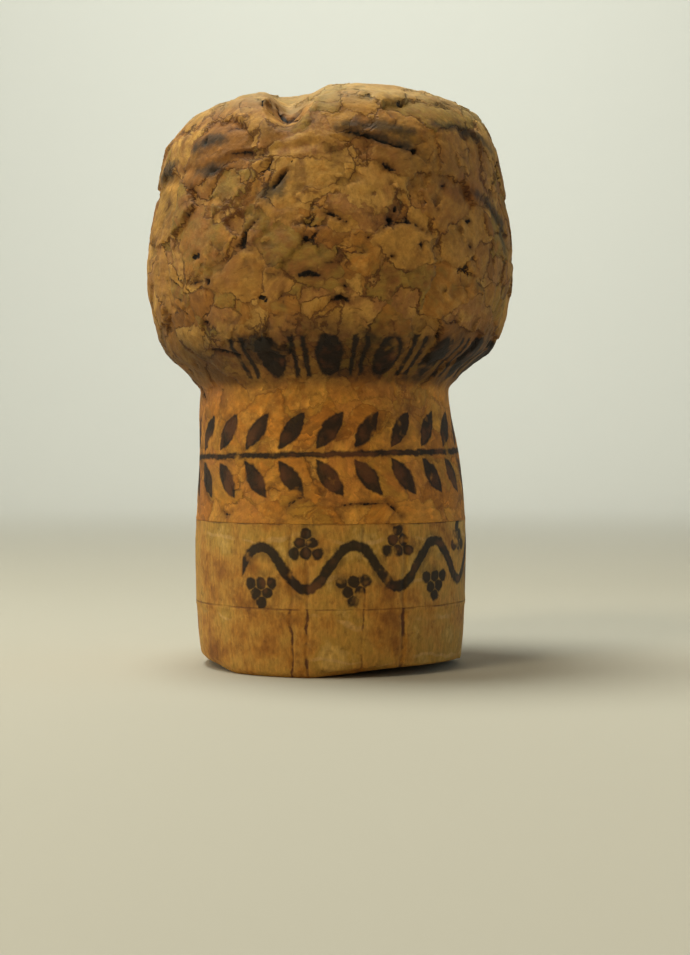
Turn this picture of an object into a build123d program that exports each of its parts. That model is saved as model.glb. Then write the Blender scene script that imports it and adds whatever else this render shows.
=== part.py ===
from build123d import *
import os
from math import acos, atan2, cos, degrees, hypot, radians, sin, tan

# Champagne cork as it looks some time after it was drawn, in millimetres.
# A moulded agglomerate of cork granules forms the mushroom head, the neck and the top of the stem.
# Two discs of natural cork are glued under it, one below the other.
# +Z runs up the axis, and the origin is the middle of the flat end that faced the wine.
# The side that shows best faces -Y, with +X at the viewer's right.

# The stem, which was pressed into the bottle and has swelled again below the neck
STEM_LENGTH = 23.2
BASE_DIAMETER = 22.0
BASE_BEVEL = 0.4
SKIRT_DIAMETER = 23.0
NECK_DIAMETER = 20.9
LOWER_DISC_THICKNESS = 5.5
UPPER_DISC_THICKNESS = 6.7

# The head, which stayed outside the bottle at its full width
HEAD_HEIGHT = 24.8
HEAD_DIAMETER = 30.8
BELLY_RISE = 9.9  # from the neck up to the middle of the ball that the belly is part of
FLARE_LATITUDE = -22.0  # in degrees, where the straight flare from the neck meets that ball
SHOULDER_INSET = 1.8  # from the head's full radius in to where the leaning side would meet the crown
SHOULDER_ROUNDING = 2.2
CROWN_RISE = 2.0  # from the shoulder up to the middle of the crown

# Mark of the metal cap's rim, pressed into the head's side a little out of square
CAP_RIM_DROP = 6.3  # from the middle of the crown down to the mark
CAP_RIM_TILT = 6.0  # in degrees, up at +X
CAP_RIM_MARK_WIDTH = 1.2
CAP_RIM_MARK_DEPTH = 0.4

# Dent that a wire of the cage pulled into the edge of the crown, a little left of the front
WIRE_BEARING = 255.0  # in degrees from +X
WIRE_SLOPE = 28.0  # in degrees
WIRE_DENT_RADIUS = 2.4
WIRE_DENT_DEPTH = 2.2  # below the corner that the edge would have if it weren't rounded

# Wear on the flat end's rim, at the front right
WEAR_BEARING = 319.0  # in degrees from +X
WEAR_SLOPE = 8.0  # in degrees
WEAR_START = 5.6  # from the axis to where the flat end turns up into the worn facet

LOWER_SEAM = LOWER_DISC_THICKNESS
UPPER_SEAM = LOWER_SEAM + UPPER_DISC_THICKNESS
LENGTH = STEM_LENGTH + HEAD_HEIGHT
HEAD_RADIUS = HEAD_DIAMETER / 2
BELLY_HEIGHT = STEM_LENGTH + BELLY_RISE
SHOULDER_RADIUS = HEAD_RADIUS - SHOULDER_INSET
SHOULDER_HEIGHT = LENGTH - CROWN_RISE
SHOULDER_RISE = SHOULDER_HEIGHT - BELLY_HEIGHT

# The side is a tangent from the shoulder's corner to the belly's ball, so its lean is its latitude there
SHOULDER_REACH = hypot(SHOULDER_RADIUS, SHOULDER_RISE)
SIDE_LEAN = degrees(atan2(SHOULDER_RISE, SHOULDER_RADIUS) - acos(HEAD_RADIUS / SHOULDER_REACH))


def belly_point(latitude):
    """Radius and height of the belly's ball at a latitude in degrees."""
    angle = radians(latitude)
    return (HEAD_RADIUS * cos(angle), BELLY_HEIGHT + HEAD_RADIUS * sin(angle))


def whole_cork():
    """The cork turned from one outline, with radius along X and height along Z."""
    foot = (0, 0)
    crown = (0, LENGTH)
    stem = Polyline(
        foot,
        (BASE_DIAMETER / 2 - BASE_BEVEL, 0),
        (BASE_DIAMETER / 2, BASE_BEVEL),
        (SKIRT_DIAMETER / 2, LOWER_SEAM),
        (SKIRT_DIAMETER / 2, UPPER_SEAM),
        (NECK_DIAMETER / 2, STEM_LENGTH),
        belly_point(FLARE_LATITUDE),
    )
    belly = CenterArc((0, BELLY_HEIGHT), HEAD_RADIUS, FLARE_LATITUDE, SIDE_LEAN - FLARE_LATITUDE)
    shoulder = (SHOULDER_RADIUS, SHOULDER_HEIGHT)
    top = FilletPolyline(belly_point(SIDE_LEAN), shoulder, crown, radius=SHOULDER_ROUNDING)
    outline = Curve() + [stem, belly, top, Line(crown, foot)]
    return revolve(make_face(Plane.XZ * outline), axis=Axis.Z)


def cap_rim_mark():
    """Ring with a sharp inner edge that cuts the leaning side to an even depth, on a tilted plane."""
    tilt = radians(CAP_RIM_TILT)
    taper = tan(radians(SIDE_LEAN))
    height = LENGTH - CAP_RIM_DROP
    side_radius = SHOULDER_RADIUS + (SHOULDER_HEIGHT - height) * taper
    sideways = side_radius * tan(tilt) * taper
    inner = (side_radius / cos(tilt) - CAP_RIM_MARK_DEPTH, 0)
    outer = side_radius / cos(tilt) + CAP_RIM_MARK_DEPTH
    section = Polyline(inner, (outer, CAP_RIM_MARK_WIDTH), (outer, -CAP_RIM_MARK_WIDTH), inner)
    ring = revolve(make_face(Plane.XZ * section), axis=Axis.Z)
    return Pos(-sideways, 0, height) * Rot(0, -CAP_RIM_TILT, 0) * ring


def wire_dent():
    """Round bar laid across the edge of the crown."""
    slope = radians(WIRE_SLOPE)
    lift = WIRE_DENT_RADIUS - WIRE_DENT_DEPTH
    middle = Pos(SHOULDER_RADIUS + lift * sin(slope), 0, SHOULDER_HEIGHT + lift * cos(slope))
    bar = middle * Rot(0, 90 + WIRE_SLOPE, 0) * Cylinder(WIRE_DENT_RADIUS, HEAD_RADIUS)
    return Rot(0, 0, WIRE_BEARING) * bar


def worn_facet():
    """Plane of the wear, which rises outwards from a chord of the flat end."""
    return Plane(Rot(0, 0, WEAR_BEARING) * Pos(WEAR_START, 0, 0) * Rot(0, -WEAR_SLOPE, 0))


def export(name, piece):
    piece.label = name
    export_step(piece, f"parts/{name}.step")


cork = whole_cork() - cap_rim_mark() - wire_dent()
stem_end = split(cork, bisect_by=Plane.XY.offset(UPPER_SEAM), keep=Keep.BOTTOM)
lower_end = split(stem_end, bisect_by=Plane.XY.offset(LOWER_SEAM), keep=Keep.BOTTOM)

os.makedirs("parts", exist_ok=True)
export("agglomerate_body", split(cork, bisect_by=Plane.XY.offset(UPPER_SEAM), keep=Keep.TOP))
export("upper_disc", split(stem_end, bisect_by=Plane.XY.offset(LOWER_SEAM), keep=Keep.TOP))
export("lower_disc", split(lower_end, bisect_by=worn_facet(), keep=Keep.TOP))
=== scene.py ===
import math
from collections import namedtuple

import bpy
import numpy as np
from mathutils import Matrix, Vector
from mathutils.bvhtree import BVHTree


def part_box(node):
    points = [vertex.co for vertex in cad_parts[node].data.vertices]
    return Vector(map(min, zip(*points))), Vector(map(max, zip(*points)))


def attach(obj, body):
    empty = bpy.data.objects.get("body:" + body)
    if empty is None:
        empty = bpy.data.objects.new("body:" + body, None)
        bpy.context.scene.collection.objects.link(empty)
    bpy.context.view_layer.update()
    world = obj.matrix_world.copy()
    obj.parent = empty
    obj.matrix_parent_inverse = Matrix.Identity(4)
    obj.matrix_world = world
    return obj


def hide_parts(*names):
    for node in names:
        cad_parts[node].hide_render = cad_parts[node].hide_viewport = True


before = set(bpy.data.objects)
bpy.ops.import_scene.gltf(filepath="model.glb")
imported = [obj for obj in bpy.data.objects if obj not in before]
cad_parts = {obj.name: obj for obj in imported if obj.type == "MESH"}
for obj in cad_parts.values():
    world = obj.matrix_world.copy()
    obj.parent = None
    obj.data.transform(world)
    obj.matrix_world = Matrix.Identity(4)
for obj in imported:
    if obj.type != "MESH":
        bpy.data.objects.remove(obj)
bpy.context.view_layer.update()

# Agglomerate body: granules of cork bound with glue and moulded in one piece, which is the head, the
# neck and the top of the stem. The joints between granules show all over the head, some have parted
# into crevices, and the stem was sanded smoother and stamped with ink.
MM = 0.001  # lengths on the cork are in millimetres, heights from the flat end and reaches from the axis
BODY_VOXEL = 0.24
SMOOTHING_ROUNDS = 3
NECK_SHIFT = -0.55  # the neck stands a little to the left of the head's axis
NECK_SHIFT_HEIGHT = 22.5
NECK_SHIFT_REACH = 4.0
FLARE_SWELL = 0.45  # how far the flare above the neck stands out from a straight line
FLARE_SWELL_HEIGHT = 26.1
FLARE_SWELL_REACH = 0.9
HEAD_HEIGHTS = (21.8, 25.3)  # where the stem ends and where the head has begun
HEAD_TILT = 1.0  # in degrees, up at the right
HEAD_SAG = 0.05  # how much lower the head is at the left
HEAD_SAG_HEIGHTS = (38.3, 47.3)
HEAD_SAG_REACH = (1.0, 9.0)
CROWN_HEIGHTS = (45.3, 46.5)  # where the side ends and where the crown has begun
CROWN_RADIUS = 12.0
CROWN_DOME = 0.55  # how much fuller than a cone the crown is between its middle and its edge
CROWN_DOME_RIGHT = 0.25  # and how much fuller still at the right
CROWN_DOME_RIGHT_REACH = (1.0, 6.0)
GROOVE_ASIDE = -3.3  # where the groove that runs back from the wire's dent lies beside the axis
GROOVE_DEPTH = 1.1
GROOVE_WIDTH = 1.7
GROOVE_WIDTH_RIGHT = 2.6  # its flank at the right is gentler
GROOVE_REACH = (0.0, 6.0)  # in front of the axis
SHOULDER_WEAR = 0.95  # how far the crown's edge is worn in
SHOULDER_WEAR_LEFT = 0.12  # and how much further at the left, or less at the right
SHOULDER_WEAR_HEIGHTS = (42.6, 45.6)
SHOULDER_WEAR_REACH = (8.5, 13.0)
AXIS_MARGIN = 0.001  # so that nothing is divided by zero on the axis
UPPER_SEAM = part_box("agglomerate_body")[0].z / MM
LOWER_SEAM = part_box("upper_disc")[0].z / MM
SEAM_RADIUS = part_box("upper_disc")[1].x / MM
RIM_REACH = 0.35  # how far from a rim the remeshing rounds it
SEAM_PULL = 0.12  # how far the stem is drawn in at a seam
SEAM_PULL_REACH = 1.8


def remeshed(node, voxel):
    """An even mesh over a CAD node, fine enough for its surface to be worked."""
    bpy.ops.object.select_all(action="DESELECT")
    piece = bpy.data.objects.new(node + "_cork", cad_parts[node].data.copy())
    bpy.context.scene.collection.objects.link(piece)
    piece.select_set(True)
    bpy.context.view_layer.objects.active = piece
    bpy.ops.object.mode_set(mode="EDIT")
    bpy.ops.mesh.select_all(action="SELECT")
    bpy.ops.mesh.remove_doubles(threshold=MM * MM)
    bpy.ops.object.mode_set(mode="OBJECT")
    even = piece.modifiers.new("even", "REMESH")
    even.mode = "VOXEL"
    even.voxel_size = voxel * MM
    bpy.ops.object.modifier_apply(modifier=even.name)
    soft = piece.modifiers.new("soft", "SMOOTH")
    soft.iterations = SMOOTHING_ROUNDS
    bpy.ops.object.modifier_apply(modifier=soft.name)
    bpy.ops.object.shade_smooth()
    piece.data.materials.clear()
    return piece


def points_of(piece):
    """The places of a piece's vertices, in millimetres."""
    places = np.zeros(len(piece.data.vertices) * 3)
    piece.data.vertices.foreach_get("co", places)
    return places.reshape(-1, 3) / MM


def put_points(piece, places):
    piece.data.vertices.foreach_set("co", (places * MM).ravel())
    piece.data.update()


def store(piece, name, values):
    """Keeps a number or a place at each vertex, for the piece's relief and material to read."""
    kind, field = ("FLOAT_VECTOR", "vector") if values.ndim == 2 else ("FLOAT", "value")
    piece.data.attributes.new(name, kind, "POINT").data.foreach_set(field, values.ravel())


def square_rim(places, seam):
    """Brings a rim that the remeshing rounded back out to the seam's radius, so that the seam is tight."""
    reach = np.hypot(places[:, 0], places[:, 1])
    near = (abs(places[:, 2] - seam) < RIM_REACH) & (reach > SEAM_RADIUS - RIM_REACH)
    places[near, :2] *= (SEAM_RADIUS / reach[near])[:, None]


def bell(values, middle, reach):
    """1 at the middle and less on both sides, down to almost nothing at twice the reach."""
    return np.exp(-(((values - middle) / reach) ** 2))


def ease_seams(places):
    """Draws the stem in a little at both seams, so that its outline runs on smoothly from piece to piece."""
    for seam in (LOWER_SEAM, UPPER_SEAM):
        pull = SEAM_PULL * bell(places[:, 2], seam, SEAM_PULL_REACH)
        places[:, :2] *= (1 - pull / SEAM_RADIUS)[:, None]


def eased(values, low, high):
    """From 0 at low to 1 at high, with soft ends."""
    share = np.clip((values - low) / (high - low), 0, 1)
    return share * share * (3 - 2 * share)


class Field:
    """What a node works out at every point of a surface, so that a pattern can be written as a sum."""

    def __init__(self, socket):
        self.socket = socket
        self.tree = socket.id_data
        self.is_vector = socket.type != "VALUE"

    def node(self, kind, *inputs, **settings):
        return wired(self.tree, kind, inputs, **settings)

    def maths(self, operation, *others):
        kind = "ShaderNodeVectorMath" if self.is_vector else "ShaderNodeMath"
        if self.is_vector:
            others = [(other,) * 3 if isinstance(other, (int, float)) else other for other in others]
        return Field(self.node(kind, self, *others, operation=operation).outputs[0])

    def __add__(self, other):
        return self.maths("ADD", other)

    def __sub__(self, other):
        return self.maths("SUBTRACT", other)

    def __rsub__(self, other):
        return self.maths("MULTIPLY", -1) + other

    def __mul__(self, other):
        if self.is_vector and isinstance(other, Field) and not other.is_vector:
            scaled = self.node("ShaderNodeVectorMath", self, None, None, other, operation="SCALE")
            return Field(scaled.outputs[0])
        return self.maths("MULTIPLY", other)

    def __truediv__(self, other):
        return self.maths("DIVIDE", other)

    def __abs__(self):
        return self.maths("ABSOLUTE")

    __radd__ = __add__
    __rmul__ = __mul__

    def least(self, other):
        return self.maths("MINIMUM", other)

    def most(self, other):
        return self.maths("MAXIMUM", other)

    def rises(self, low, high):
        """From 0 at low to 1 at high, with soft ends."""
        eased_range = self.node("ShaderNodeMapRange", self, low, high, interpolation_type="SMOOTHSTEP")
        return Field(eased_range.outputs[0])

    def falls(self, low, high):
        return 1 - self.rises(low, high)

    def part(self, axis):
        return Field(self.node("ShaderNodeSeparateXYZ", self).outputs[axis])

    def noise(self, scale, detail=2.0, roughness=0.5):
        return Field(self._noise(scale, detail, roughness).outputs[0])

    def noise_vector(self, scale, detail=2.0, roughness=0.5):
        return Field(self._noise(scale, detail, roughness).outputs[1])

    def _noise(self, scale, detail, roughness):
        return self.node("ShaderNodeTexNoise", self, None, scale, detail, roughness)

    def wobble(self, scale, amount, detail=2.0, roughness=0.5):
        """Noise of either sign, over a range of this amount."""
        return (self.noise(scale, detail, roughness) - 0.5) * amount

    def drift(self, scale, amount, detail=2.0):
        """The same in all three directions, to move a place about."""
        return (self.noise_vector(scale, detail) - 0.5) * amount

    def dot(self, other):
        return Field(self.node("ShaderNodeVectorMath", self, other, operation="DOT_PRODUCT").outputs[1])

    def length(self):
        return Field(self.node("ShaderNodeVectorMath", self, operation="LENGTH").outputs[1])

    def cells(self, width):
        """Distance to the nearest cell's middle, that cell's three random numbers, and its middle."""
        added = self.node("ShaderNodeTexVoronoi", self, None, 1 / width)
        gap, chances, middle = (Field(output) for output in added.outputs[:3])
        return gap * width, chances, middle

    def cell_joints(self, width):
        added = self.node("ShaderNodeTexVoronoi", self, None, 1 / width, feature="DISTANCE_TO_EDGE")
        return Field(added.outputs[0]) * width

    def mixed(self, first, second):
        """first where this is 0 and second where it is 1."""
        kind = next(("VECTOR" if value.is_vector else "FLOAT" for value in (first, second)
                     if isinstance(value, Field)), "VECTOR")
        start, out = {"FLOAT": (2, 0), "VECTOR": (4, 1)}[kind]
        added = self.node("ShaderNodeMix", self, data_type=kind)
        join(self.tree, added.inputs[start], first)
        join(self.tree, added.inputs[start + 1], second)
        return Field(added.outputs[out])


def join(tree, socket, value):
    """Links a field to a socket, or sets the socket to a plain value."""
    if isinstance(value, Field):
        tree.links.new(value.socket, socket)
    elif value is not None:
        socket.default_value = value


def wired(tree, kind, inputs, **settings):
    """Adds a node, with its inputs given in order and None for those left as they are."""
    added = tree.nodes.new(kind)
    for name, value in settings.items():
        setattr(added, name, value)
    for socket, value in zip(added.inputs, inputs):
        join(tree, socket, value)
    return added


def colour(red, green, blue):
    """A screen colour of 0 to 255 as the linear light that shaders use."""
    shares = (np.array((red, green, blue)) / 255 + 0.055) / 1.055
    return tuple(float(value) for value in shares**2.4)


def worked(piece, node, heights):
    """Raises a piece's surface by heights(place), in millimetres, and keeps it inside its CAD node's box."""
    tree = bpy.data.node_groups.new(piece.name + "_relief", "GeometryNodeTree")
    for way in ("INPUT", "OUTPUT"):
        tree.interface.new_socket("Geometry", in_out=way, socket_type="NodeSocketGeometry")
    place = Field(tree.nodes.new("GeometryNodeInputPosition").outputs[0]) * (1 / MM)
    normal = Field(tree.nodes.new("GeometryNodeInputNormal").outputs[0])
    moved = tree.nodes.new("GeometryNodeSetPosition")
    tree.links.new(tree.nodes.new("NodeGroupInput").outputs[0], moved.inputs["Geometry"])
    join(tree, moved.inputs["Offset"], normal * (heights(place) * MM))
    tree.links.new(moved.outputs[0], tree.nodes.new("NodeGroupOutput").inputs[0])
    relief = piece.modifiers.new("relief", "NODES")
    relief.node_group = tree
    bpy.ops.object.modifier_apply(modifier=relief.name)
    lowest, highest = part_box(node)
    put_points(piece, np.clip(points_of(piece), np.array(lowest) / MM, np.array(highest) / MM))


def stored(tree, name, kind="FLOAT"):
    """A value kept at the vertices, as a relief reads it."""
    added = tree.nodes.new("GeometryNodeInputNamedAttribute")
    added.data_type = kind
    added.inputs["Name"].default_value = name
    return Field(added.outputs[0])


def painted(tree, name, output=2):
    """A value kept at the vertices, as a material reads it."""
    added = tree.nodes.new("ShaderNodeAttribute")
    added.attribute_name = name
    return Field(added.outputs[output])


body = remeshed("agglomerate_body", BODY_VOXEL)
places = points_of(body)
square_rim(places, UPPER_SEAM)
ease_seams(places)
x, y, z = places.T
x += NECK_SHIFT * bell(z, NECK_SHIFT_HEIGHT, NECK_SHIFT_REACH)
reach = np.hypot(x, y) + AXIS_MARGIN
crown = eased(z, *CROWN_HEIGHTS)
fullness = CROWN_DOME + CROWN_DOME_RIGHT * eased(x, *CROWN_DOME_RIGHT_REACH)
z += fullness * crown * np.sin(np.pi * np.clip(reach / CROWN_RADIUS, 0, 1))
groove_width = np.where(x < GROOVE_ASIDE, GROOVE_WIDTH, GROOVE_WIDTH_RIGHT)
z -= GROOVE_DEPTH * crown * bell(x, GROOVE_ASIDE, groove_width) * eased(-y, *GROOVE_REACH)
swell = FLARE_SWELL * bell(z, FLARE_SWELL_HEIGHT, FLARE_SWELL_REACH)
shoulder = eased(z, *SHOULDER_WEAR_HEIGHTS) * eased(reach, *SHOULDER_WEAR_REACH)
wear = shoulder * (SHOULDER_WEAR - SHOULDER_WEAR_LEFT * x / reach)
places[:, :2] *= (1 + (swell - wear) / reach)[:, None]
z -= HEAD_SAG * eased(-x, *HEAD_SAG_REACH) * eased(z, *HEAD_SAG_HEIGHTS)
z += x * math.tan(math.radians(HEAD_TILT)) * eased(z, *HEAD_HEIGHTS)
put_points(body, places)
store(body, "rest", places)

# Where the eye of the photograph is, and what it sees of the crevices, pits and stains: points in its
# picture, each with half the mark's width in millimetres
PICTURE_MIDDLE = (345.0, 477.5)
FOCAL_PIXELS = 1770.0
EYE = Vector((1.2, -150.0, 18.05))
EYE_PITCH = math.radians(-0.9)
CREVICES = {
    "hooked crack": (0.10, [(258, 217), (245, 229), (243, 243), (235, 246), (250, 249)]),
    "hook's black middle": (0.16, [(244, 230), (242, 240), (237, 245)]),
    "slit at the middle": (0.20, [(299, 275), (309, 273), (320, 276)]),
    "crack below the slit": (0.05, [(283, 287), (281, 295), (283, 304)]),
    "black pit at the left": (0.20, [(206, 280), (210, 283)]),
    "crack to that pit": (0.05, [(190, 284), (206, 280)]),
    "small pit at the left": (0.10, [(187, 213), (186, 218)]),
    "pit above the flare": (0.12, [(202, 322), (206, 324)]),
    "slit on the flare": (0.12, [(208, 350), (226, 353), (243, 357)]),
    "crack under the flare": (0.06, [(189, 350), (197, 358), (206, 364)]),
    "crease in the wire's dent": (0.20, [(281, 103), (285, 110), (290, 113), (296, 110), (301, 105)]),
    "fold below the dent": (0.18, [(287, 169), (281, 176), (273, 187)]),
    "left stain's pit": (0.14, [(205, 136), (204, 145)]),
    "left stain's second pit": (0.12, [(209, 171), (217, 169)]),
    "pit at the left edge": (0.10, [(170, 168), (170, 174)]),
    "crease at the left": (0.06, [(226, 128), (232, 126), (240, 123)]),
    "crease across": (0.05, [(227, 154), (240, 153), (264, 154)]),
    "short crevice": (0.10, [(324, 212), (333, 214), (340, 218), (346, 221)]),
    "pit in the middle": (0.20, [(303, 236), (307, 240)]),
    "black spot under the rim": (0.30, [(414, 149), (417, 151)]),
    "rim's dark line": (0.12, [(345, 131), (366, 136), (384, 142), (404, 147), (416, 150)]),
    "pit below the spot": (0.22, [(384, 164), (389, 167), (394, 170)]),
    "pit at the right": (0.28, [(389, 217), (392, 221)]),
    "pit above it": (0.13, [(396, 206), (396, 211)]),
    "arc at the right": (0.07, [(378, 230), (390, 224), (404, 221), (414, 223), (428, 232)]),
    "pit on the arc": (0.12, [(406, 217), (409, 219)]),
    "pit under the arc": (0.15, [(421, 243), (422, 247)]),
    "lower pit": (0.11, [(390, 255), (394, 256)]),
    "far pit": (0.14, [(467, 222), (470, 221)]),
    "far pit below": (0.12, [(470, 244), (472, 248)]),
    "edge pit": (0.08, [(443, 185), (447, 184)]),
    "dot": (0.08, [(368, 237), (370, 237)]),
    "dot below": (0.10, [(344, 285), (346, 287)]),
    "dark corner": (0.18, [(331, 300), (341, 297), (349, 302)]),
    "thin line": (0.04, [(325, 263), (340, 262)]),
    "crease by the neck": (0.10, [(200, 386), (203, 393), (206, 400)]),
    "granule crack": (0.05, [(222, 511), (228, 516), (232, 511)]),
    "granule crack, middle": (0.04, [(283, 511), (291, 503), (298, 498), (307, 500)]),
    "granule crack, right": (0.05, [(344, 505), (364, 504), (384, 503)]),
    "granule crack to the seam": (0.06, [(385, 501), (394, 508), (403, 517)]),
}
STAINS = {
    "dark stain on the rim": (0.35, [(338, 127), (366, 134), (398, 143), (416, 148)]),
    "grey stain above it": (0.50, [(345, 122), (382, 126), (412, 132)]),
    "grey stain to the right": (0.35, [(430, 124), (456, 128), (478, 138), (494, 152)]),
    "left stain": (0.55, [(196, 147), (207, 139), (222, 138)]),
    "lower left stain": (0.45, [(200, 172), (215, 169), (222, 167)]),
    "left edge's stain": (0.60, [(160, 182), (166, 172), (176, 163)]),
    "edge's stain at the right": (0.50, [(476, 195), (492, 206), (503, 222), (506, 250)]),
    "brown patch": (0.60, [(268, 200), (262, 192), (276, 190), (284, 178)]),
}
STROKE_STEP = 3.0  # pixels between the points that a mark is laid through
STROKE_END_SHARE = 0.45  # how wide a mark's ends are beside its middle
FAR_FROM_MARKS = 9.0


def seen_at(surface, pixel):
    """The point of a surface that the eye sees at a pixel of the photograph, or None."""
    across = (pixel[0] - PICTURE_MIDDLE[0]) / FOCAL_PIXELS
    up = (PICTURE_MIDDLE[1] - pixel[1]) / FOCAL_PIXELS
    pitch = (math.cos(EYE_PITCH), math.sin(EYE_PITCH))
    sight = Vector((across, pitch[0] - up * pitch[1], pitch[1] + up * pitch[0]))
    return surface.ray_cast(EYE * MM, sight)[0]


def distance_to_marks(piece, marks):
    """How far each vertex lies from the edge of the nearest mark, in millimetres."""
    surface = BVHTree.FromObject(piece, bpy.context.evaluated_depsgraph_get())
    places = points_of(piece)
    nearest = np.full(len(places), FAR_FROM_MARKS)
    for half_width, pixels in marks.values():
        laid = []
        for start, end in zip(pixels, pixels[1:]):
            steps = max(1, round(math.dist(start, end) / STROKE_STEP))
            laid += [np.add(start, np.subtract(end, start) * n / steps) for n in range(steps)]
        spots = [seen_at(surface, pixel) for pixel in laid + [pixels[-1]]]
        spots = [np.array(spot) / MM for spot in spots if spot]
        for number, (a, b) in enumerate(zip(spots, spots[1:])):
            along = np.clip((places - a) @ (b - a) / ((b - a) @ (b - a)), 0, 1)
            gap = np.linalg.norm(places - a - along[:, None] * (b - a), axis=1)
            share = (number + along) / (len(spots) - 1)
            fullness = np.sqrt(4 * share * (1 - share))
            nearest = np.minimum(nearest, gap - half_width * np.maximum(fullness, STROKE_END_SHARE))
    return nearest


store(body, "crevice", distance_to_marks(body, CREVICES))
store(body, "stain", distance_to_marks(body, STAINS))

# The moulded surface's relief: granules that lean and fall off towards their joints, flakes that have
# lifted from their torn faces, pits, and the marks of the cap and of the wire
GRANULE_WIDTH = 4.8
GRANULE_FLATNESS = 1.3  # how much wider than high the granules lie
GRANULE_LEAN = 0.13
SMALL_GRANULE_WIDTH = 2.5
SMALL_GRANULE_CHANCE = 0.42
SHARP_STEP = 0.001
PILLOW_REACH = 0.8  # how far from a joint a granule's face falls off
PILLOW_DEPTH = 0.06
PARTING_REACH = (0.02, 0.25)
PARTING_DEPTH = 0.22
FLAKE_WIDTH = 1.9
FLAKE_FLATNESS = 1.6
FLAKE_LEAN = 0.16
PIT_GAP = 2.6  # between the places where a pit can be
PIT_RADIUS = 0.34
PIT_EDGE = (-0.10, 0.10)
PIT_DEPTH = 0.30
CREVICE_EDGE = (-0.25, 0.10)
CREVICE_DEPTH = 0.65
CREASE_HALF_WIDTH = 1.5  # of the sharp fold along the middle of the wire's dent
CREASE_DEPTH = 0.6
CREASE_REACH = (2.0, 6.0)  # in front of the axis
CREASE_HEIGHTS = (41.0, 44.5)
CAP_MARK_HEIGHT = 41.7
CAP_MARK_SLOPE = math.tan(math.radians(7.0))
CAP_MARK_HALF_WIDTH = 0.75
CAP_MARK_FILL = 0.26  # how far the cap's mark has swelled out again where it has worn off
RELIEF_DROP = 0.05  # how far the relief's middle lies below the moulded surface
STEM_RELIEF_SHARE = 0.15  # what sanding left of the relief on the stem
SEAM_RELIEF_REACH = 1.0  # above the seam, where the relief sets in


def granules(place):
    """Distance to a joint between granules, the granule's random numbers, and the way from its middle."""
    bent = place + place.drift(0.30, 2.8) + place.drift(1.1, 1.0)
    pressed = bent * (1.0, 1.0, GRANULE_FLATNESS)
    chances, middle = pressed.cells(GRANULE_WIDTH)[1:]
    joints = pressed.cell_joints(GRANULE_WIDTH)
    small_chances, small_middle = pressed.cells(SMALL_GRANULE_WIDTH)[1:]
    small_joints = pressed.cell_joints(SMALL_GRANULE_WIDTH)
    limit = 1 - SMALL_GRANULE_CHANCE
    crumbled = chances.part(2).rises(limit, limit + SHARP_STEP)
    own_chances = crumbled.mixed(chances, small_chances)
    from_middle = pressed - crumbled.mixed(middle, small_middle)
    return crumbled.mixed(joints, joints.least(small_joints)), own_chances, from_middle


def flakes(place):
    """Distance to the edge of a flake on a torn face, the flake's lean, and 1 where it has lifted."""
    pressed = (place + place.drift(0.8, 1.6)) * (1.0, 1.0, FLAKE_FLATNESS)
    chances, middle = pressed.cells(FLAKE_WIDTH)[1:]
    lean = (chances - 0.5).dot(pressed - middle)
    lifted = place.noise(0.5).rises(0.48, 0.62)
    return pressed.cell_joints(FLAKE_WIDTH), lean, lifted


def pits(place):
    """Distance to the edge of the nearest pit."""
    gap, chances = (place + place.drift(1.2, 1.6)).cells(PIT_GAP)[:2]
    return gap - chances.part(0).rises(0.80, 1.0) * PIT_RADIUS + place.wobble(2.6, 0.5)


def parting(place):
    """1 where the joints between granules have opened, and 0 where they are tight."""
    return place.noise(0.25).rises(0.58, 0.70) * place.noise(0.9).rises(0.42, 0.58)


def body_heights(place):
    """The body's relief in millimetres, weaker on the stem and none at the seam."""
    joint, chances, from_middle = granules(place)
    flake_lean, lifted = flakes(place)[1:]
    aside, back, height = (place.part(axis) for axis in range(3))
    lean = (chances - 0.5).dot(from_middle) * GRANULE_LEAN
    pillow = joint.falls(0.0, PILLOW_REACH) * -PILLOW_DEPTH
    parted = parting(place) * joint.falls(*PARTING_REACH) * -PARTING_DEPTH
    lumps = place.wobble(0.10, 0.45) + place.wobble(0.30, 0.30) + place.wobble(1.3, 0.10)
    torn = flake_lean * lifted * FLAKE_LEAN + pits(place).falls(*PIT_EDGE) * -PIT_DEPTH
    moulded = lean + pillow + parted + lumps + torn - RELIEF_DROP
    head = height.rises(*HEAD_HEIGHTS)
    crevice = stored(place.tree, "crevice").falls(*CREVICE_EDGE) * -CREVICE_DEPTH
    fold = (1 - abs(aside - GROOVE_ASIDE) / CREASE_HALF_WIDTH).most(0)
    crease = fold * (back * -1).rises(*CREASE_REACH) * height.rises(*CREASE_HEIGHTS) * -CREASE_DEPTH
    off_mark = abs(height - aside * CAP_MARK_SLOPE - CAP_MARK_HEIGHT)
    worn_mark = off_mark.falls(0.0, CAP_MARK_HALF_WIDTH) * place.noise(0.16).rises(0.36, 0.50)
    relief = moulded * (head * (1 - STEM_RELIEF_SHARE) + STEM_RELIEF_SHARE)
    relief = relief + crevice + crease + worn_mark * CAP_MARK_FILL
    return relief * height.rises(UPPER_SEAM, UPPER_SEAM + SEAM_RELIEF_REACH)


worked(body, "agglomerate_body", body_heights)

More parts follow.
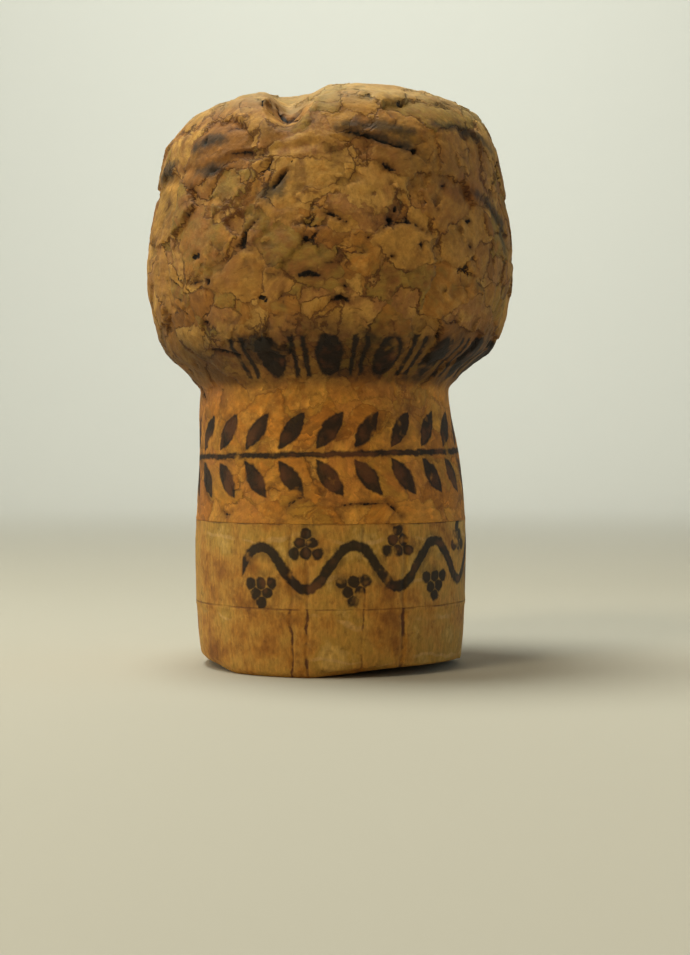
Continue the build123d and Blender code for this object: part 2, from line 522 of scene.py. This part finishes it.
# The finish: granules of many browns with dark joints, painted shade towards the joints and on the lifted
# flakes, pale dust on the crown that also stands in for the light on its top, painted shade under the flare
# in the neck's bend, black crevices and stains, and ink. A noise takes its scale, detail and roughness, and
# rises and falls take the values between which a patch sets in or fades.
GRANULE_TONES = {
    0.00: (142, 96, 48),
    0.15: (164, 114, 56),
    0.32: (194, 148, 80),
    0.48: (164, 116, 72),
    0.62: (206, 162, 94),
    0.76: (176, 122, 56),
    0.88: (160, 130, 68),
    1.00: (150, 104, 58),
}
STEM_TONE = colour(184, 114, 36)
LILAC_TONE = colour(146, 94, 68)
OLIVE_TONE = colour(140, 112, 48)
DARK_TONE = colour(92, 52, 20)
PALE_TONE = colour(214, 172, 104)
HEAD_SHADE = (0.88, 0.77, 0.52)
STEM_SHADE = (1.20, 1.04, 0.56)
# Pale dust on the crown's top, which also stands in for the light falling on it: its colour and the heights
# where it sets in
DUST_AND_LIGHT_TONE = colour(196, 166, 112)
DUST_AND_LIGHT_HEIGHTS = (44.0, 46.4)
# Painted shade under the head's flare, in the neck's bend: the heights where it sets in and fades, and how
# dark it is
FLARE_SHADE_START = (22.7, 23.7)
FLARE_SHADE_END = (25.5, 29.5)
FLARE_SHADE_STRENGTH = 0.62
CREVICE_TONE = colour(26, 15, 7)
STAIN_TONE = colour(38, 38, 34)
STAIN_STRENGTH = 0.75
CORK_GLOSS = 0.3
BODY_ROUGHNESS = 0.72
BODY_GRAIN_STRENGTH = 0.9
INK_TONE = colour(18, 11, 8)
THIN_INK_TONE = colour(80, 44, 23)
INK_STRENGTH = 0.94
INK_RAGGEDNESS = 0.35
ROW_FADE = 1.0  # in degrees, at the ends of a row
ROW_WANDER = 0.35
StampedRow = namedtuple("StampedRow", "height radius rise first_bearing last_bearing wetness")
BEAD_ROW = StampedRow(
    height=25.3, radius=12.4, rise=0.15, first_bearing=-36.0, last_bearing=121.0, wetness=0.15)
LAUREL_ROW = StampedRow(
    height=17.7, radius=10.7, rise=0.2, first_bearing=-104.4, last_bearing=103.9, wetness=0.03)
BEAD_PITCH = 4.6
BEAD_HALF_WIDTH = 1.1
BEAD_HALF_HEIGHT = 1.6
BAR_ASIDE = 1.85  # from the middle of a bead
BAR_HALF_WIDTH = 0.22
BAR_HALF_HEIGHT = 1.5
LEAF_PITCH = 3.0
LEAF_ASIDE = 1.9  # from the twig to the middle of a leaf
LEAF_SLANT = math.radians(54.0)
LEAF_HALF_LENGTH = 1.8
LEAF_HALF_WIDTH = 0.72
TWIG_HALF_WIDTH = 0.24


def ramped(field, tones):
    """Colours along a field from 0 to 1, from a table of share to screen colour."""
    added = field.node("ShaderNodeValToRGB", field)
    stops = added.color_ramp.elements
    for share, tone in list(tones.items())[1:-1]:
        stops.new(share)
    for stop, (share, tone) in zip(stops, tones.items()):
        stop.position = share
        stop.color = (*colour(*tone), 1.0)
    return Field(added.outputs[0])


def finish_of(piece, name):
    """A new material on a piece: its tree, its shader, and the piece's places before its relief."""
    material = bpy.data.materials.new(name)
    material.use_nodes = True
    piece.data.materials.append(material)
    tree = material.node_tree
    return tree, tree.nodes["Principled BSDF"], painted(tree, "rest", 1)


def dress(tree, shader, tone, roughness, grain, grain_strength):
    """Gives a cork finish its colour, its roughness and a fine grain with heights in millimetres."""
    join(tree, shader.inputs["Base Color"], tone)
    shader.inputs["Roughness"].default_value = roughness
    shader.inputs["Specular IOR Level"].default_value = CORK_GLOSS
    bump = wired(tree, "ShaderNodeBump", ())
    bump.inputs["Distance"].default_value = MM
    bump.inputs["Strength"].default_value = grain_strength
    join(tree, bump.inputs["Height"], grain)
    tree.links.new(bump.outputs[0], shader.inputs["Normal"])


def bearing(place):
    """Angle round the axis in radians, from the front and towards the right."""
    return place.part(0).maths("ARCTAN2", place.part(1) * -1)


def printed(place, base, row, shapes):
    """Adds a row's ink where shapes(along, up) is negative: black where it pooled, and brown elsewhere."""
    turned = bearing(place)
    wander = place.drift(0.9, ROW_WANDER)
    along = turned * row.radius + wander.part(0)
    up = place.part(2) - row.height - turned * row.rise + wander.part(2)
    edge = shapes(along, up)
    begun = turned.rises(math.radians(row.first_bearing), math.radians(row.first_bearing + ROW_FADE))
    within = begun * turned.falls(math.radians(row.last_bearing), math.radians(row.last_bearing + ROW_FADE))
    ragged = edge + place.wobble(2.4, INK_RAGGEDNESS, 3.0)
    stamped = ragged.falls(-0.12, 0.12) * within * place.noise(0.5, 3.0).rises(0.26, 0.40)
    pooled = (place.noise(0.42, 3.0) + edge.rises(-0.35, -0.05) * 0.08 + row.wetness).rises(0.42, 0.58)
    bled = edge.falls(0.0, 0.8) * within * place.noise(0.45).rises(0.50, 0.66) * (0.35 + row.wetness * 2)
    return (stamped * INK_STRENGTH).most(bled).mixed(base, pooled.mixed(THIN_INK_TONE, INK_TONE))


def repeated(along, pitch):
    """Distance along from the middle of the nearest of a row of like marks."""
    return (along / pitch + 0.5).maths("FRACT") * pitch - pitch / 2


def bead_and_reel(along, up):
    """Ovals with a pair of thin bars between neighbours."""
    near = repeated(along, BEAD_PITCH)
    bead = ((near * near) / BEAD_HALF_WIDTH**2 + (up * up) / BEAD_HALF_HEIGHT**2).maths("SQRT") - 1
    bar = (abs(abs(near) - BAR_ASIDE) - BAR_HALF_WIDTH).most(abs(up) - BAR_HALF_HEIGHT)
    return bead.least(bar)


def laurel(along, up):
    """A twig with slanting leaves above and below it."""
    near = repeated(along, LEAF_PITCH)
    out = abs(up) - LEAF_ASIDE
    lengthwise = near * math.cos(LEAF_SLANT) + out * math.sin(LEAF_SLANT)
    sideways = out * math.cos(LEAF_SLANT) - near * math.sin(LEAF_SLANT)
    leaf = abs(sideways) - (1 - (lengthwise * lengthwise) / LEAF_HALF_LENGTH**2) * LEAF_HALF_WIDTH
    return leaf.least(abs(up) - TWIG_HALF_WIDTH)


tree, shader, place = finish_of(body, "agglomerated_cork")
height = place.part(2)
head = height.rises(*HEAD_HEIGHTS)
joint, chances = granules(place + place.drift(4.0, 0.35, 1.0))[:2]
mottle = place.noise(0.8, 4.0, 0.6)
tone = ramped(chances.part(0) * 0.9 + mottle * 0.5 - 0.195, GRANULE_TONES)
tone = (head * 0.35 + 0.65).mixed(STEM_TONE, tone)
tone = (place.noise(0.16, 4.0).rises(0.50, 0.68) * 0.45).mixed(tone, LILAC_TONE)
tone = (place.noise(0.19, 4.0).falls(0.32, 0.46) * 0.35).mixed(tone, OLIVE_TONE)
tone = (place.noise(0.33, 4.0, 0.6).falls(0.30, 0.46) * 0.5).mixed(tone, DARK_TONE)
fibre_way = (chances - 0.5).maths("NORMALIZE")
streaks = (place - fibre_way * (place.dot(fibre_way) * 0.75)).noise(2.2, 4.0, 0.65)
tone = tone * (streaks * 1.2 + 0.4)
tone = (place.noise(2.6, 3.0, 0.6).rises(0.58, 0.72) * 0.28).mixed(tone, DARK_TONE)
tone = (place.noise(1.9, 3.0, 0.6).falls(0.28, 0.40) * 0.28).mixed(tone, PALE_TONE)
# Painted shade: each granule darkens a little towards its joints, where it dips
tone = tone * (joint.rises(0.0, 0.30) * 0.12 + 0.88)
lines = joint.falls(0.03, 0.12) * place.noise(0.45).rises(0.38, 0.56) * (head * 0.6 + 0.4)
tone = (lines * 0.68).mixed(tone, DARK_TONE)
# Painted light and shade on the lifted flakes: each is lighter where it leans up and darker where it leans
# down, and a dark line along its edge stands for the shadow it casts
flake_edge, flake_lean, lifted = flakes(place)
edges = flake_edge.falls(0.02, 0.14) * lifted * place.noise(1.3).rises(0.45, 0.60) * head
tone = (edges * 0.60).mixed(tone * (flake_lean * lifted * 0.5 + 1), DARK_TONE)
tone = tone * head.mixed(STEM_SHADE, HEAD_SHADE)
# Pale dust on the crown, which also stands in for the light falling on its top
dust_and_top_light = height.rises(*DUST_AND_LIGHT_HEIGHTS) * (place.noise(0.5, 4.0, 0.6) * 0.9 - 0.05)
tone = dust_and_top_light.mixed(tone, DUST_AND_LIGHT_TONE)
# Painted shade under the head's flare, in the neck's bend, darker in patches
flare_shade = height.rises(*FLARE_SHADE_START) * height.falls(*FLARE_SHADE_END) * (place.noise(0.30, 4.0) * 0.8 + 0.5)
tone = tone * (1 - flare_shade * FLARE_SHADE_STRENGTH)
opened = parting(place) * joint.falls(0.03, 0.16) * (head * 0.5 + 0.4)
holes = pits(place).falls(-0.04, 0.06) * head
mark = painted(tree, "crevice") + place.wobble(1.6, 0.30) + place.wobble(4.5, 0.22)
tone = (mark.falls(-0.05, 0.50) * 0.55).mixed(tone, DARK_TONE)
tone = opened.most(holes).most(mark.falls(-0.06, 0.08)).mixed(tone, CREVICE_TONE)
stain = (painted(tree, "stain") + place.wobble(0.9, 1.8, 4.0, 0.65)).falls(-0.4, 0.5)
tone = (stain * STAIN_STRENGTH).mixed(tone, STAIN_TONE)
tone = printed(place, tone, BEAD_ROW, bead_and_reel)
tone = printed(place, tone, LAUREL_ROW, laurel)
grain = place.noise(4.0, 4.0, 0.6) * 0.06 + streaks * 0.06 + (opened + lines * 0.5) * -0.12
dress(tree, shader, tone, BODY_ROUGHNESS, grain, BODY_GRAIN_STRENGTH)
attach(body, "root")
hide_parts("agglomerate_body")

# The two discs: natural cork, cut across the bark and glued under the body one below the other. Dark
# channels run through both along the axis, faint growth lines run round them, and the upper one is
# stamped. The lower one's rim is worn where it faced the wine.
DISC_VOXEL = 0.17
DISC_TONES = {
    0.00: (134, 80, 25),
    0.25: (173, 115, 42),
    0.50: (185, 132, 55),
    0.75: (175, 130, 53),
    1.00: (199, 155, 80),
}
CHANNEL_TONE = colour(78, 38, 20)
CHANNELS = {-16.0: 0.09, -9.4: 0.11, 13.3: 0.04, 31.2: 0.15}  # bearing in degrees to half width
CHANNEL_RADIUS = 11.4
CHANNEL_DEPTH = 0.10
CHANNELS_SHOWN = {"upper_disc": 0.3, "lower_disc": 0.9}
SMALL_CHANNEL_GAP = 3.4
SMALL_CHANNEL_RADIUS = 0.30
GROWTH_LINE_TONE = colour(206, 160, 98)
GROWTH_LINE_GAP = 3.1
DISC_DENTS = 0.30
DISC_DROP = 0.02  # how far the relief lies below the turned surface
DISC_EDGE = 0.6  # how far from a disc's faces its relief sets in
SEAM_LINE = (0.16, 0.04)  # below the upper face, where the dark line of glue starts and is full
DISC_ROUGHNESS = 0.68
DISC_GRAIN_STRENGTH = 0.6
BASE_WEAR = [(-75.0, (9.0, 11.0), 0.65), (10.0, (10.1, 10.6), 0.3)]  # bearing, reach and depth
BASE_WEAR_HEIGHTS = (0.0, 2.5)
VINE_ROW = StampedRow(
    height=8.8, radius=11.5, rise=0.3, first_bearing=-37.9, last_bearing=113.2, wetness=0.06)
VINE_PITCH = 7.6
VINE_WAVE = 1.7
VINE_HALF_WIDTH = 0.42
BERRIES = [(0.95, -1.15), (1.9, -1.15), (2.85, -1.15), (1.42, -1.95), (2.38, -1.95), (1.9, -2.7)]
BERRY_RADIUS = 0.50


def towards(turn):
    """The level way out from the axis at a bearing in degrees."""
    return math.sin(math.radians(turn)), -math.cos(math.radians(turn)), 0.0


def channel_gap(place):
    """Distance to the edge of the nearest channel along the axis, in millimetres."""
    wander = place + place.drift(0.35, (0.9, 0.9, 0.0))
    gap, chances = (wander * (1.0, 1.0, 0.06)).cells(SMALL_CHANNEL_GAP)[:2]
    nearest = gap - chances.part(0).rises(0.55, 1.0) * SMALL_CHANNEL_RADIUS
    around = (wander * (1.0, 1.0, 0.0)).maths("NORMALIZE") * CHANNEL_RADIUS
    for turn, half_width in CHANNELS.items():
        spot = tuple(CHANNEL_RADIUS * share for share in towards(turn))
        nearest = nearest.least((around - spot).length() - half_width)
    return nearest


def disc_heights(place, bottom, top):
    """The relief of a disc's side, which leaves its glued faces and its flat end as they are."""
    dents = (place.noise(0.18) - 0.55) * DISC_DENTS
    relief = dents + channel_gap(place).falls(-0.10, 0.18) * -CHANNEL_DEPTH - DISC_DROP
    height = place.part(2)
    return relief * height.rises(bottom, bottom + DISC_EDGE) * height.falls(top - DISC_EDGE, top)


def vine(along, up):
    """A waving stem with a bunch of berries under each crest and over each hollow."""
    near = repeated(along, VINE_PITCH)
    across, above = abs(near), up * near.maths("SIGN")
    turn = math.tau / VINE_PITCH
    slope = (across * turn).maths("COSINE") * (VINE_WAVE * turn)
    wave = abs(above - (across * turn).maths("SINE") * VINE_WAVE) / (slope * slope + 1).maths("SQRT")
    edge = wave - VINE_HALF_WIDTH
    for berry_across, berry_above in BERRIES:
        aside, over = across - berry_across, above - berry_above
        edge = edge.least((aside * aside + over * over).maths("SQRT") - BERRY_RADIUS)
    return edge


for node in ("upper_disc", "lower_disc"):
    disc = remeshed(node, DISC_VOXEL)
    bottom, top = (corner.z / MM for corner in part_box(node))
    places = points_of(disc)
    square_rim(places, top)
    if node == "upper_disc":
        square_rim(places, bottom)
    else:
        for turn, wear_reach, depth in BASE_WEAR:
            worn = eased(places @ towards(turn), *wear_reach)
            places[:, 2] += depth * worn * (1 - eased(places[:, 2], *BASE_WEAR_HEIGHTS))
    ease_seams(places)
    put_points(disc, places)
    store(disc, "rest", places)
    worked(disc, node, lambda place: disc_heights(place, bottom, top))
    tree, shader, place = finish_of(disc, node + "_natural_cork")
    height = place.part(2)
    tone = ramped(place.noise(0.30, 4.0, 0.6).rises(0.25, 0.75), DISC_TONES)
    growth = ((height + place.wobble(0.25, 3.0)) / GROWTH_LINE_GAP).maths("FRACT")
    lines = abs(growth - 0.5).falls(0.02, 0.07) * place.noise(0.3).rises(0.48, 0.62)
    tone = (lines * 0.5).mixed(tone, GROWTH_LINE_TONE)
    fibres = (place * (2.6, 2.6, 1.0)).noise(1.4, 4.0, 0.65)
    tone = tone * (fibres * 1.4 + 0.3)
    tone = (place.noise(1.1, 4.0, 0.65).falls(0.30, 0.45) * 0.35).mixed(tone, CHANNEL_TONE)
    channels = (channel_gap(place) + place.wobble(2.2, 0.35, 3.0)).falls(-0.06, 0.10)
    shown = place.noise(0.6, 3.0, 0.6).rises(0.36, 0.54) * CHANNELS_SHOWN[node]
    tone = (channels * shown).mixed(tone, CHANNEL_TONE)
    seam = (height + place.wobble(1.5, 0.12)).rises(*(top - below for below in SEAM_LINE))
    tone = (seam * place.noise(0.4).rises(0.40, 0.60) * 0.6).mixed(tone, CHANNEL_TONE)
    if node == "upper_disc":
        tone = printed(place, tone, VINE_ROW, vine)
    grain = place.noise(4.0, 4.0, 0.6) * 0.04 + fibres * 0.05
    dress(tree, shader, tone, DISC_ROUGHNESS, grain, DISC_GRAIN_STRENGTH)
    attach(disc, "root")
    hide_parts(node)

# Floor: a sheet of pale paper, laid flat under the cork and curved up all round into a wide bowl, so
# that no edge shows behind the cork from any side. From here on, lengths are in metres.
FLOOR_RADIUS = 0.7
FLOOR_SIDES = 96
FLOOR_CURVE = 0.3
FLOOR_CURVE_STEPS = 16
WALL_HEIGHT = 0.7
PAPER_TONE = (0.52, 0.46, 0.38, 1.0)
PAPER_ROUGHNESS = 0.9

bpy.ops.object.select_all(action="DESELECT")
bpy.ops.mesh.primitive_cylinder_add(
    vertices=FLOOR_SIDES,
    radius=FLOOR_RADIUS,
    depth=WALL_HEIGHT,
    end_fill_type="NGON",
    location=(0, 0, WALL_HEIGHT / 2),
)
floor = bpy.context.active_object
floor.name = "floor"
bpy.ops.object.transform_apply(location=True)
bpy.ops.object.mode_set(mode="EDIT")
bpy.ops.mesh.select_mode(type="FACE")
bpy.ops.mesh.select_all(action="DESELECT")
bpy.ops.object.mode_set(mode="OBJECT")
for face in floor.data.polygons:
    face.select = face.normal.z > 0.9
bpy.ops.object.mode_set(mode="EDIT")
bpy.ops.mesh.delete(type="FACE")
bpy.ops.mesh.select_mode(type="EDGE")
bpy.ops.mesh.select_all(action="DESELECT")
bpy.ops.object.mode_set(mode="OBJECT")
for edge in floor.data.edges:
    edge.select = all(floor.data.vertices[n].co.z < MM for n in edge.vertices)
bpy.ops.object.mode_set(mode="EDIT")
bpy.ops.mesh.bevel(offset=FLOOR_CURVE, segments=FLOOR_CURVE_STEPS, profile=0.5)
bpy.ops.object.mode_set(mode="OBJECT")
bpy.ops.object.shade_smooth()
paper = bpy.data.materials.new("paper")
paper.use_nodes = True
sheet = paper.node_tree.nodes["Principled BSDF"]
sheet.inputs["Base Color"].default_value = PAPER_TONE
sheet.inputs["Roughness"].default_value = PAPER_ROUGHNESS
floor.data.materials.append(paper)

# Light: a soft lamp high at the left of the eye, a cool one above, weak wide ones in front and at both
# sides, a lamp on the backdrop, and an even dim light all round
CORK_MIDDLE = Vector((0.0, 0.0, 0.024))
LAMPS = {  # the way from the cork, the distance, the lamp's size, power and tint
    "key_lamp": ((-0.46, -0.52, 0.72), 0.55, 0.16, 0.74, (1.0, 0.94, 0.69)),
    "top_lamp": ((-0.22, 0.05, 0.97), 0.24, 0.12, 0.58, (0.92, 1.0, 0.92)),
    "front_lamp": ((-0.60, -0.78, 0.20), 0.55, 0.30, 0.22, (1.0, 0.80, 0.45)),
    "left_lamp": ((-0.90, 0.10, 0.25), 0.50, 0.40, 0.74, (0.76, 1.0, 0.94)),
    "right_lamp": ((0.95, 0.10, 0.15), 0.50, 0.40, 0.50, (0.48, 0.84, 1.0)),
}
BACKDROP_LAMP_PLACE = Vector((0.0, 0.36, 0.44))
BACKDROP_MIDDLE = Vector((0.0, 0.68, 0.24))
BACKDROP_LAMP_SIZE = 0.3
BACKDROP_LAMP_POWER = 2.6
BACKDROP_LAMP_TINT = (0.78, 0.93, 1.0)
SKY_TONE = (1.0, 0.90, 0.70, 1.0)
SKY_STRENGTH = 0.16


def add_lamp(name, place, target, size, power, tint):
    data = bpy.data.lights.new(name, "AREA")
    data.shape = "DISK"
    data.size = size
    data.energy = power
    data.color = tint
    lamp = bpy.data.objects.new(name, data)
    lamp.location = place
    lamp.rotation_euler = (place - target).to_track_quat("Z", "Y").to_euler()
    bpy.context.scene.collection.objects.link(lamp)


for name, (direction, distance, size, power, tint) in LAMPS.items():
    add_lamp(name, CORK_MIDDLE + Vector(direction).normalized() * distance, CORK_MIDDLE, size, power, tint)
add_lamp(
    "backdrop_lamp",
    BACKDROP_LAMP_PLACE,
    BACKDROP_MIDDLE,
    BACKDROP_LAMP_SIZE,
    BACKDROP_LAMP_POWER,
    BACKDROP_LAMP_TINT,
)
world = bpy.data.worlds.new("sky")
world.use_nodes = True
sky = world.node_tree.nodes["Background"]
sky.inputs["Color"].default_value = SKY_TONE
sky.inputs["Strength"].default_value = SKY_STRENGTH
bpy.context.scene.world = world
bpy.context.scene.view_settings.view_transform = "Standard"

# Camera: where the photograph was taken from, below the head and almost square to the cork's axis, with
# the photograph's focal length on its longer side
SENSOR_SIDE = 36.0
PICTURE_HEIGHT = 955.0
NEAREST_SEEN = 0.01

camera_data = bpy.data.cameras.new("camera")
camera_data.sensor_width = SENSOR_SIDE
camera_data.lens = FOCAL_PIXELS / PICTURE_HEIGHT * SENSOR_SIDE
camera_data.clip_start = NEAREST_SEEN
camera = bpy.data.objects.new("camera", camera_data)
camera.location = EYE * MM
camera.rotation_euler = (math.pi / 2 + EYE_PITCH, 0, 0)
bpy.context.scene.collection.objects.link(camera)
bpy.context.scene.camera = camera
